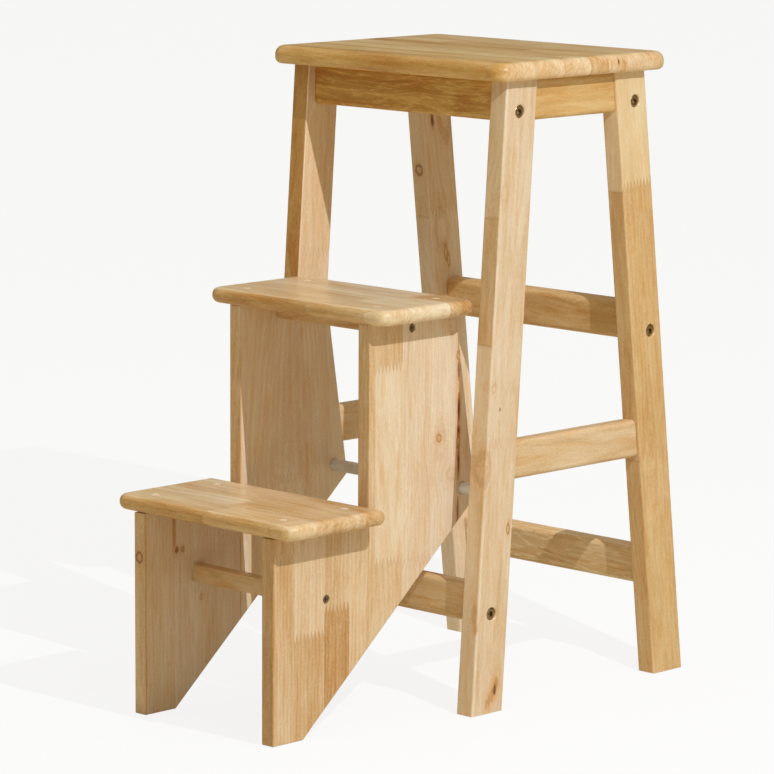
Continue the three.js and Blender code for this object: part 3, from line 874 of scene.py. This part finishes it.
class STEPSTOOL_OT_legs(Maker):
    """Planes the four splayed legs, saws them level at both ends and drills them for the bolts"""

    bl_idname = "stepstool.legs"
    bl_label = "Legs"

    # For each leg its staves, and its knots by their place on the frame in millimetres. A thin
    # first stave gives the front face its own tones; on the front left leg these are darker, a
    # painted shade. The next thin pale stave, on the rounded front corner, is a painted highlight.
    timber = {
        "leg_front_right": (
            # Pale stave on the rounded front corner: painted highlight
            [(0.3, (0.26, 0.50, 0.30), (0.60, 0.80), 0.22, 0.2), (2.4, (0.16,), (), 0.22, 0.0),
             (19.3, (0.32, 0.28), (0.44,), 0.12, 0.0), (21, (0.34, 0.30), (0.52,), 0.31, 0.0)],
            [(145, -12.5, 23, 7.5, 2.8, 1.0, 0.0), (145, -16, 19, 10, 3.2, 0.5, 0.0),
             (145, -20, 14, 9, 2.8, 0.5, 0.0), (145, -24, 9.5, 8, 2.4, 0.5, 0.0),
             (145, -10, 29, 9, 3.0, 0.5, 0.0), (145, -9, 36, 9, 5.0, 0.0, 0.12),
             (145, -27, 241, 15, 5.5, 0.0, 0.28), (145, -26, 238, 5, 1.8, 0.1, 0.3),
             (145, -8.4, 297, 1.6, 1.1, 0.7, 0.4), (145, -17, 318.5, 4.5, 2.6, 0.0, 0.3),
             (145, 4.5, 179, 5, 1.8, 0.0, 0.9), (141, -37.6, 99, 8, 1.2, 0.3, 0.3),
             (144, -37.8, 86, 5, 1.0, 0.5, 0.3), (141, -22, 470, 16, 5, 0.0, 0.1),
             (145, -32, 520, 12, 6, 0.0, 0.0), (145, -4, 505, 9, 4, 0.0, 0.12)],
        ),
        "leg_rear_right": (
            [(43, (0.50, 0.50, 0.18), (0.38, 0.825), 0.42, 0.4)],
            [(145, 200, 380, 14, 4.0, 0.0, 0.12), (145, 212, 250, 16, 5.0, 0.0, 0.12),
             (145, 180, 455, 20, 4.0, 0.0, 0.15), (145, 218, 190, 18, 4.0, 0.0, 0.12)],
        ),
        "leg_front_left": (
            # Darker front face: painted shade; pale stave on the rounded front corner: painted
            # highlight
            [(0.3, (0.70, 0.74), (0.5,), 0.64, 0.5), (1.2, (0.22,), (), 0.64, 0.0),
             (41.1, (0.32, 0.30, 0.36), (0.3, 0.7), 0.64, 0.15)],
            [(-124, -8, 430, 16, 6, 0.0, 0.0)],
        ),
        "leg_rear_left": (
            # Pale stave on the rounded front corner: painted highlight
            [(0.3, (0.22, 0.24, 0.36), (0.35, 0.745), 0.23, 0.1), (1.4, (0.18,), (), 0.23, 0.0),
             (40.9, (0.20, 0.24, 0.40), (0.35, 0.745), 0.23, 0.1)],
            [(-124, 172.4, 556, 9, 2.6, 1.0, 0.6), (-124, 174.4, 544, 8, 2.4, 1.0, 0.5),
             (-134.3, 165.9, 493, 5.4, 1.4, 0.15, 1.0), (-124, 191, 556, 30, 9, 0.0, 0.4),
             (-124, 190, 430, 20, 9, 0.0, 0.25), (-124, 196, 406, 9, 2.2, 0.1, 0.8),
             (-124, 200, 398, 7, 1.8, 0.1, 0.7)],
        ),
    }
    mouth_ease = 0.9 * MM

    def make(self):
        bolts = [n for n in frame["nodes"] if n.startswith("bolt_")]
        for node, (staves, knots) in self.timber.items():
            lay, width, thickness, rise = leg_lay(node)
            bm = planed_bar((rise + 2 * width, width, thickness), sizes().leg_edge, LEG_STEPS)
            bmesh.ops.transform(bm, matrix=lay.matrix, verts=bm.verts)
            saw_off(bm, (0, 0, leg_lines(node)[4]), Z)
            saw_off(bm, (0, 0, 0), -Z)
            side = side_of(node)
            outer = lay.middle.x + side * thickness / 2
            holes = []
            for bolt in bolts:
                at = middle_of(bolt)
                if side_of(bolt) == side and abs(at.y - leg_middle(node, at.z)) <= width:
                    holes.append(head_hole(bolt, outer, BOLT_HEAD_HEIGHT, self.mouth_ease))
            if "front" in node:
                holes.append(self.rod_hole(lay.middle.x - side * thickness / 2, side))
            wood = lacquered_wood(node, lay, (rise / MM, width / MM), staves, knots, rings=0.35)
            piece(carve(bm, holes), node, wood)

    def rod_hole(self, inner, side):
        """The blind hole for the rod's end, from the inner face of a leg outwards."""
        mouth = Vector((inner, *middle_of("pivot_rod").yz))
        depth = abs(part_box("pivot_rod")[1].x) - abs(inner) + sizes().hole_gap
        return hole(mouth, side * X, room_round("pivot_rod"), depth)


class STEPSTOOL_OT_cross_rails(Maker):
    """Planes the aprons and rails that run across between the legs of a pair"""

    bl_idname = "stepstool.cross_rails"
    bl_label = "Cross rails"

    # For each rail its staves, and how strong the pale veins in it are
    timber = {
        "apron_front": ([(40, (0.72, 0.69), (0.8,), 0.15, 1.0)], 1.1),
        "apron_rear": ([(40, (0.65, 0.61), (0.5,), 0.37, 0.8)], 0.8),
        "front_lower_rail": ([(38, (0.40,), (), 0.55, 0.4)], 0.3),
        "rear_upper_rail": ([(38, (0.56, 0.50), (0.35,), 0.68, 0.5)], 0.3),
        "rear_lower_rail": ([(19, (0.44,), (), 0.78, 0.4), (19, (0.36,), (), 0.91, 0.4)], 1.0),
    }
    nut_hole_floor = 1.7 * MM

    def make(self):
        inner = min(abs(point.x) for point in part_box("leg_front_right"))
        span = 2 * (inner - sizes().joint_gap)
        thickness = sizes().rail_thickness
        for node, (staves, veins) in self.timber.items():
            apron = node.startswith("apron")
            leg = "leg_rear_right" if "rear" in node else "leg_front_right"
            up = Z if apron else leg_lay(leg)[0].turn.col[0]
            height = sizes().apron_height if apron else sizes().rail_height
            lay = Lay(middle_of(node), X, up)
            bm = laid_bar((span, height, thickness), sizes().rail_edge, RAIL_STEPS, lay)
            outward = lay.turn.col[2] if lay.turn.col[2].y > 0 else -lay.turn.col[2]
            holes = []
            for nut in (f"barrel_nut_{node}_{hand}" for hand in HANDS):
                if nut in frame["nodes"]:
                    at = middle_of(nut)
                    mouth = at + outward * ((lay.middle - at).dot(outward) + thickness / 2)
                    depth = thickness - self.nut_hole_floor
                    holes.append(hole(mouth, -outward, room_round(nut, "x"), depth))
            if apron:
                screw = "seat_screw_" + node
                at = middle_of(screw)
                at.z = lay.middle.z - height / 2
                holes.append(hole(at, Z, room_round(screw, "x"), height / 2))
            wood = lacquered_wood(node, lay, (span / MM, height / MM), staves, veins=veins)
            piece(carve(bm, holes) if holes else bm, node, wood)


class STEPSTOOL_OT_side_rails(Maker):
    """Planes the aprons and rails between a front and a rear leg, sawn to the legs' lean"""

    bl_idname = "stepstool.side_rails"
    bl_label = "Side rails"

    timber = {
        "apron": [(40, (0.47,), (), 0.27, 0.6)],
        "side_rail": [(38, (0.40,), (), 0.51, 0.15)],
    }

    def make(self):
        for kind, staves in self.timber.items():
            for hand in HANDS:
                node = f"{kind}_{hand}"
                low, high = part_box(node)
                front, rear = f"leg_front_{hand}", f"leg_rear_{hand}"
                height, level = high.z - low.z, (high.z + low.z) / 2
                ends = [leg_face(front, level, True), leg_face(rear, level, False)]
                reach = ends[1] - ends[0]
                lay = Lay(((low.x + high.x) / 2, sum(ends) / 2, level), Y, Z)
                size = (reach + 2 * height, height, high.x - low.x)
                bm = planed_bar(size, sizes().rail_edge, RAIL_STEPS)
                bmesh.ops.transform(bm, matrix=lay.matrix, verts=bm.verts)
                for leg, y, way in ((front, ends[0], 1), (rear, ends[1], -1)):
                    square = leg_lay(leg)[0].turn.col[1]
                    saw_off(bm, Vector((0, y + way * sizes().joint_gap, level)), -way * square)
                wood = lacquered_wood(node, lay, (reach / MM, height / MM), staves)
                piece(bm, node, wood)


class STEPSTOOL_OT_panels(Maker):
    """Saws the two stepped side panels of the step unit and drills them"""

    bl_idname = "stepstool.panels"
    bl_label = "Step panels"

    # The stepped outline along Y from the rod's axis; the heel also up from it, in millimetres
    front, rise_front, foot_depth, top_depth = -255.0, -129.0, 39.5, 118.0
    heel = (18.5, -10.5)
    mouth_ease = 0.3 * MM
    # In each panel the darker 1.2 mm stave at the front and the 1.6 mm stave at the riser's front
    # edge are painted shade on the front-facing edges
    timber = {
        "step_panel_right": (
            [(1.2, (0.72,), (), 0.15, 0.0), (25.8, (0.54, 0.62), (0.48,), 0.15, 0.0),
             (40, (0.62, 0.38), (0.268,), 0.28, 0.0), (33, (0.76, 0.50), (0.325,), 0.39, 0.0),
             (25.2, (0.42, 0.50), (0.55,), 0.46, 0.1), (1.6, (0.54,), (), 0.46, 0.1),
             (7.2, (0.42, 0.50), (0.55,), 0.46, 0.1),
             (37, (0.42, 0.22, 0.50), (0.415, 0.90), 0.52, 0.1),
             (39, (0.28, 0.24), (0.4,), 0.61, 0.0), (34, (0.12,), (), 0.77, 0.0),
             (30, (0.16,), (), 0.85, 0.0)],
            [(96, -41.5, 267, 3.6, 2.8, 0.2, 0.8), (96, -39, 262, 16, 7, 0.0, 0.12),
             (96, -23.5, 230, 6, 7, 0.0, 0.14), (96, -23.3, 376, 9, 6, 0.0, 0.16),
             (96, -14.5, 357, 9, 1.4, 0.3, 0.8), (96, -15.5, 345, 4, 2, 0.1, 0.7),
             (96, -14.5, 331, 9, 1.7, 0.8, 0.8), (96, -14.2, 293, 13, 1.8, 1.0, 0.8),
             (96, -14.2, 271, 5, 2.0, 1.0, 0.8), (96, -14.6, 260, 6, 2.2, 0.2, 0.7),
             (96, -14.2, 240, 15, 1.6, 0.9, 0.8), (96, -14.8, 193, 11, 1.4, 0.8, 0.7)],
        ),
        "step_panel_left": (
            [(1.2, (0.52,), (), 0.19, 0.1), (36.8, (0.26, 0.24), (0.6,), 0.19, 0.1),
             (30, (0.18, 0.18), (0.4,), 0.31, 0.0), (34, (0.26, 0.20), (0.35,), 0.44, 0.0),
             (23.2, (0.16, 0.24), (0.42,), 0.57, 0.0), (1.6, (0.50,), (), 0.57, 0.2),
             (9.2, (0.16, 0.24), (0.42,), 0.57, 0.0), (36, (0.26, 0.20), (0.5,), 0.66, 0.2),
             (38, (0.12, 0.16), (0.55,), 0.72, 0.1), (34, (0.14,), (), 0.83, 0.1),
             (30, (0.18,), (), 0.93, 0.1)],
            [(-81, -225, 176, 14, 1.6, 0.5, 0.7), (-81, -221.8, 157, 3, 2.2, 0.8, 0.8),
             (-81, -214, 156.7, 2.6, 2, 0.5, 0.8), (-89.1, -263, 154.3, 5, 1.4, 0.0, 1.0),
             (-81, -190, 106, 3, 1.8, 0.2, 0.4), (-81, -217.7, 95, 45, 1.0, 0.0, 0.25),
             (-81, -70, 200, 70, 22, 0.0, 0.05)],
        ),
    }

    def make(self):
        rod = middle_of("pivot_rod")
        for node, (staves, knots) in self.timber.items():
            low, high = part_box(node)
            side, hand = side_of(node), node.rpartition("_")[2]
            outer = high.x if side > 0 else low.x
            mouth, through = Vector((outer, *rod.yz)), high.x - low.x + 2 * MM
            holes = [hole(mouth, -side * X, room_round("pivot_rod"), through)]
            for batten in ("lower", "upper"):
                screw = f"batten_screw_{batten}_{hand}"
                holes.append(head_hole(screw, outer, SCREW_HEAD_HEIGHT, self.mouth_ease))
            wood = lacquered_wood(node, *filling(node, Z, Y), staves, knots, rings=0.45)
            piece(carve(self.blank(node), holes), node, wood)

    def blank(self, node):
        """A panel sawn to its stepped outline, with eased edges."""
        low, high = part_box(node)
        rod = middle_of("pivot_rod")
        lower, upper = (
            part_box(tread)[0].z - sizes().joint_gap for tread in ("lower_tread", "upper_tread"))
        corners = [
            (self.front, 0), (self.front + self.foot_depth, 0),
            (self.heel[0], rod.z + self.heel[1] * MM),
            (self.rise_front + self.top_depth, upper), (self.rise_front, upper),
            (self.rise_front, lower), (self.front, lower),
        ]
        bm = bmesh.new()
        face = bm.faces.new([bm.verts.new((low.x, rod.y + y * MM, z)) for y, z in corners])
        grown = bmesh.ops.extrude_face_region(bm, geom=[face])["geom"]
        moved = [v for v in grown if isinstance(v, bmesh.types.BMVert)]
        bmesh.ops.translate(bm, vec=(high.x - low.x, 0, 0), verts=moved)
        bmesh.ops.recalc_face_normals(bm, faces=bm.faces)
        ease(bm, bm.edges, sizes().panel_edge, PANEL_STEPS)
        return bm


class STEPSTOOL_OT_battens(Maker):
    """Planes the two square battens between the step panels"""

    bl_idname = "stepstool.battens"
    bl_label = "Cross battens"

    # For each batten its turn about X in degrees, and its stave
    timber = {
        "lower_cross_batten": (-6.0, (17, (0.47,), (), 0.29, 0.3)),
        "upper_cross_batten": (0.0, (17, (0.47,), (), 0.7, 0.3)),
    }

    def make(self):
        size = sizes().batten_size
        for node, (turn, stave) in self.timber.items():
            reach = extent(node, "x")
            lay = Lay(middle_of(node), X, Matrix.Rotation(math.radians(turn), 3, "X") @ Z)
            bm = laid_bar((reach, size, size), sizes().batten_edge, BATTEN_STEPS, lay)
            piece(bm, node, lacquered_wood(node, lay, (reach / MM, size / MM), [stave]))


class STEPSTOOL_OT_rod(Maker):
    """Turns the steel rod that the steps swing about"""

    bl_idname = "stepstool.rod"
    bl_label = "Pivot rod"

    def make(self):
        radius, reach, edge = extent("pivot_rod", "z") / 2, extent("pivot_rod", "x"), MM
        inset = 0.3 * edge
        profile = [
            (0, 0), (radius - edge, 0), (radius - inset, inset), (radius, edge),
            (radius, reach - edge), (radius - inset, reach - inset), (radius - edge, reach),
            (0, reach),
        ]
        end = middle_of("pivot_rod")
        end.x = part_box("pivot_rod")[0].x
        piece(turned(profile, end, X), "pivot_rod", metal("steel"))


class STEPSTOOL_OT_bolts(Maker):
    """Turns the connector bolts with their hexagon sockets, and finishes their barrel nuts"""

    bl_idname = "stepstool.bolts"
    bl_label = "Bolts and nuts"

    socket_width, socket_depth, shank = 5.4 * MM, 3 * MM, 3 * MM
    # The head's face from its recess to its rim: radius as a share, or in from the rim, and depth
    recess = [(0.58, 0.15 * MM), (0.64, 0)]
    rim = [(1.6 * MM, 0), (1.1 * MM, 0.2 * MM), (0.5 * MM, 0.6 * MM), (0.1 * MM, 1.1 * MM),
           (0, 1.8 * MM)]

    def make(self):
        for node in sorted(frame["nodes"]):
            if node.startswith("barrel_nut_"):
                paint_solid(node, metal("zinc"))
            elif node.startswith("bolt_"):
                self.bolt(node)

    def bolt(self, node):
        face, way, radius, reach = head_of(node)
        profile = [
            (0, self.recess[0][1]), *((radius * share, deep) for share, deep in self.recess),
            *((radius - inset, deep) for inset, deep in self.rim),
            (radius, BOLT_HEAD_HEIGHT), (self.shank, BOLT_HEAD_HEIGHT), (self.shank, reach),
            (0, reach),
        ]
        corner = self.socket_width / 2 / math.cos(math.pi / 6)
        floor = self.socket_depth
        socket = turned(
            [(0, -MM), (corner, -MM), (corner, floor), (0, floor + MM)], face, way, 6)
        piece(carve(turned(profile, face, way), [socket]), node, metal("brass"))


class STEPSTOOL_OT_screws(Maker):
    """Turns the countersunk screws of the battens, and finishes the screws inside"""

    bl_idname = "stepstool.screws"
    bl_label = "Screws"

    edge, rim, point = 0.3 * MM, 0.7 * MM, 5 * MM
    # The cross recess: two blades that cross in the head's face
    blades = ((3 * MM, 5 * MM, MM), (3 * MM, MM, 5 * MM))

    def make(self):
        for node in sorted(n for n in frame["nodes"] if "_screw_" in n):
            if node.startswith("batten_screw"):
                self.screw(node)
            else:
                paint_solid(node, metal("zinc"))

    def screw(self, node):
        face, way, radius, reach = head_of(node)
        shank = radius / 2
        profile = [
            (0, 0), (radius - self.edge, 0), (radius, self.edge), (radius, self.rim),
            (shank, SCREW_HEAD_HEIGHT), (shank, reach - self.point), (0, reach),
        ]
        cross = combine(*(cube(size, face) for size in self.blades), "UNION")
        piece(carve(turned(profile, face, way, PIN_STEPS), [cross]), node, metal("zinc"))


class STEPSTOOL_OT_stage(Maker):
    """Sets the pale floor, the soft sky, the lamp and the camera"""

    bl_idname = "stepstool.stage"
    bl_label = "Studio"

    # The lamp stands near, so its shadows spread; a wide fill comes from the camera's side
    lamp_place, lamp_radius, lamp_power = (1.0, -0.22, 1.262), 0.004, 1.97
    lamp_tint = (0.95, 0.98, 1.0)
    fill_way, fill_power, fill_spread = (0.80, -0.50, 0.40), 0.17, 50
    fill_tint = (1.0, 0.96, 0.88)
    # What the sky and the floor give as light, and how bright the camera sees them
    warm, sky_low, sky_high, sky_seen = (1.0, 0.94, 0.72), 0.06, 0.64, 0.94
    bounce, floor_seen = (0.72, 0.68, 0.56), 0.86
    floor_size, floor_drop = 30, 0.4 * MM
    # The camera fitted to the photo: its place, its angles in degrees, and its lens
    camera_place = (2.813555, -2.872844, 0.947803)
    camera_turn, camera_tilt, camera_roll = 44.5602, 9.1370, 0.2931
    lens_pixels, picture_pixels, sensor_width = 4137.32, 774, 36

    def make(self):
        view = bpy.context.scene.view_settings
        view.view_transform, view.look = "Standard", "None"
        bm = bmesh.new()
        bmesh.ops.create_grid(bm, x_segments=8, y_segments=8, size=self.floor_size)
        floor = new_object("floor", mesh_of("floor", bm))
        floor.location.z = -self.floor_drop
        floor.data.materials.append(self.floor_paint())

        self.sky()
        self.lamp()
        self.fill()
        self.camera()

    def sky(self):
        """A soft warm sky that is white where the camera looks at it."""
        world = bpy.data.worlds.new("Studio")
        bpy.context.scene.world = world
        g = blank_graph(world)
        height = g.split(g.node("ShaderNodeTexCoord").outputs["Generated"])[2]
        glow = g.fit(height, 0.0, 0.8, self.sky_low, self.sky_high, smooth=True)
        soft = g.node("ShaderNodeBackground", {"Color": (*self.warm, 1), "Strength": glow})
        seen = g.node("ShaderNodeBackground", {"Color": (1, 1, 1, 1), "Strength": self.sky_seen})
        g.close("World", g.camera_sees(seen, soft))

    def floor_paint(self):
        """A floor that is white to the camera, with a faint shadow, and throws back a soft warm
        light."""
        material = bpy.data.materials.new("Pale floor")
        g = blank_graph(material)
        cloud = g.noise(g.node("ShaderNodeTexCoord").outputs["Object"], (0.8, 0.8, 0.8), 2.0)
        tint = tuple(colours().floor)
        seen = g.node(
            "ShaderNodeBsdfPrincipled",
            {"Base Color": g.mix(cloud, tint, shade_of(tint, 0.97)), "Roughness": 0.9,
             "Specular IOR Level": 0.0, "Emission Color": (1, 1, 1, 1),
             "Emission Strength": self.floor_seen},
        )
        bounce = g.node("ShaderNodeBsdfDiffuse", {"Color": (*self.bounce, 1)})
        g.close("Material", g.camera_sees(seen, bounce))
        return material

    def lamp(self):
        """A small near lamp whose light doesn't weaken across the stool."""
        data = bpy.data.lights.new("Key", "POINT")
        data.energy, data.color = 4 * math.pi, self.lamp_tint
        data.shadow_soft_size = self.lamp_radius
        g = blank_graph(data)
        even = g.node("ShaderNodeLightFalloff", {"Strength": self.lamp_power}).outputs["Constant"]
        g.close("Light", g.node("ShaderNodeEmission", {"Strength": even}))
        new_object("Key", data).location = self.lamp_place

    def fill(self):
        data = bpy.data.lights.new("Fill", "SUN")
        data.energy, data.angle = self.fill_power, math.radians(self.fill_spread)
        data.color = self.fill_tint
        turn = Vector(self.fill_way).to_track_quat("Z", "Y").to_euler()
        new_object("Fill", data).rotation_euler = turn

    def camera(self):
        turn, tilt, roll = (
            math.radians(angle) for angle in (self.camera_turn, self.camera_tilt, self.camera_roll))
        level = math.cos(tilt)
        ahead = Vector((-math.sin(turn) * level, math.cos(turn) * level, -math.sin(tilt)))
        right = ahead.cross(Z).normalized()
        up = right.cross(ahead)
        right, up = (
            right * math.cos(roll) + up * math.sin(roll),
            up * math.cos(roll) - right * math.sin(roll),
        )
        data = bpy.data.cameras.new("Camera")
        data.sensor_width = self.sensor_width
        data.lens = self.lens_pixels * self.sensor_width / self.picture_pixels
        data.clip_end = 100
        place = Matrix((right, up, -ahead)).transposed().to_4x4()
        place.translation = Vector(self.camera_place)
        camera = new_object("Camera", data)
        camera.matrix_world = place
        bpy.context.scene.camera = camera


class STEPSTOOL_PT_pieces(bpy.types.Panel):
    """Lists the stool's pieces, sizes and colours"""

    bl_idname = "STEPSTOOL_PT_pieces"
    bl_label = "Step stool"
    bl_space_type = "VIEW_3D"
    bl_region_type = "UI"
    bl_category = "Step stool"

    def draw(self, context):
        for operator in OPERATORS:
            self.layout.operator(operator.bl_idname)
        for group in (sizes(), colours()):
            box = self.layout.box()
            for name in group.__annotations__:
                box.prop(group, name)


OPERATORS = (
    STEPSTOOL_OT_stage, STEPSTOOL_OT_seat, STEPSTOOL_OT_treads, STEPSTOOL_OT_legs,
    STEPSTOOL_OT_cross_rails, STEPSTOOL_OT_side_rails, STEPSTOOL_OT_panels, STEPSTOOL_OT_battens,
    STEPSTOOL_OT_rod, STEPSTOOL_OT_bolts, STEPSTOOL_OT_screws,
)
CLASSES = (StoolSizes, StoolColours, *OPERATORS, STEPSTOOL_PT_pieces)


def register():
    for each in CLASSES:
        bpy.utils.register_class(each)
    bpy.types.Scene.step_stool_sizes = bpy.props.PointerProperty(type=StoolSizes)
    bpy.types.Scene.step_stool_colours = bpy.props.PointerProperty(type=StoolColours)


def unregister():
    del bpy.types.Scene.step_stool_colours
    del bpy.types.Scene.step_stool_sizes
    for each in reversed(CLASSES):
        bpy.utils.unregister_class(each)


def main():
    register()
    for operator in OPERATORS:
        group, name = operator.bl_idname.split(".")
        getattr(getattr(bpy.ops, group), name)()


if __name__ == "__main__":
    main()
